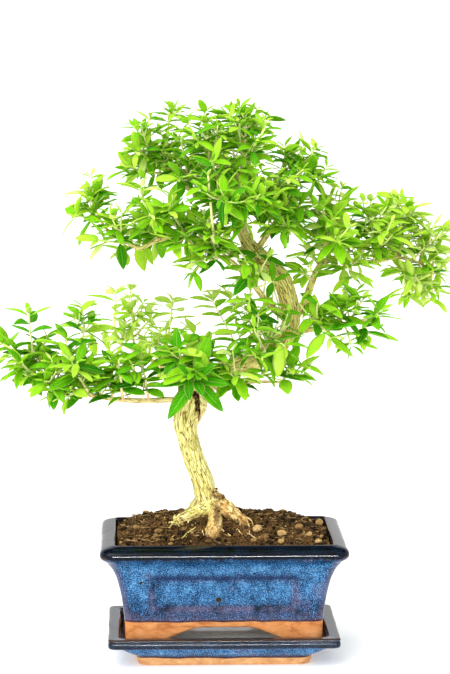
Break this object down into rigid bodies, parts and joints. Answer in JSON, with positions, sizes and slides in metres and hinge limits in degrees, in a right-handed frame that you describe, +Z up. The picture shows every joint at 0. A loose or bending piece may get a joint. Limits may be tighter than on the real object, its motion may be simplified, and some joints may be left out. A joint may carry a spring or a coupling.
{
  "type": "serissa bonsai",
  "caption": "Serissa bonsai with an S-shaped trunk and leafy limbs, in a glazed rectangular pot with soil, on a matching drip tray.",
  "frame": {"origin": "on the table, under the middle of the pot", "axes": "+Z up; +X to the right along the pot's long side; -Y towards the viewer of the tree's front"},
  "size_m": [0.3979, 0.2007, 0.4636],
  "materials": {
    "pot_glaze": "gloss",
    "tray_glaze": "gloss",
    "soil": "matte",
    "screen": "matte",
    "bark": "matte",
    "leaf": "satin"
  },
  "bodies": {
    "root": {"drainage_screen_left": "screen", "drainage_screen_right": "screen", "drip_tray": "tray_glaze", "pot": "pot_glaze", "soil": "soil", "spray_apex_1": "leaf", "spray_apex_2": "leaf", "spray_apex_3": "leaf", "spray_crown_back_1": "leaf", "spray_crown_back_2": "leaf", "spray_crown_front_1": "leaf", "spray_crown_front_2": "leaf", "spray_crown_left_high_1": "leaf", "spray_crown_left_high_2": "leaf", "spray_crown_left_high_3": "leaf", "spray_crown_left_high_4": "leaf", "spray_crown_left_low_1": "leaf", "spray_crown_left_low_2": "leaf", "spray_crown_left_low_3": "leaf", "spray_crown_left_low_4": "leaf", "spray_crown_left_low_5": "leaf", "spray_crown_mid_1": "leaf", "spray_crown_mid_2": "leaf", "spray_crown_right_1": "leaf", "spray_crown_right_2": "leaf", "spray_crown_right_3": "leaf", "spray_crown_right_4": "leaf", "spray_crown_right_5": "leaf", "spray_inner_left_1": "leaf", "spray_inner_left_2": "leaf", "spray_low_back_1": "leaf", "spray_low_back_2": "leaf", "spray_low_back_3": "leaf", "spray_low_front_1": "leaf", "spray_low_front_2": "leaf", "spray_low_left_1": "leaf", "spray_low_left_2": "leaf", "spray_low_left_3": "leaf", "spray_low_left_4": "leaf", "spray_low_left_5": "leaf", "spray_low_left_6": "leaf", "spray_low_left_7": "leaf", "spray_low_right_1": "leaf", "spray_low_right_2": "leaf", "spray_mid_front_1": "leaf", "spray_mid_front_2": "leaf", "spray_mid_right_1": "leaf", "spray_mid_right_2": "leaf", "spray_mid_right_3": "leaf", "spray_right_1": "leaf", "spray_right_2": "leaf", "spray_right_3": "leaf", "spray_right_4": "leaf", "spray_right_5": "leaf", "spray_right_6": "leaf", "spray_right_7": "leaf", "spray_right_rising_1": "leaf", "spray_right_rising_2": "leaf", "spray_right_rising_3": "leaf", "trunk_and_limbs": "bark"}
  },
  "joints": []
}
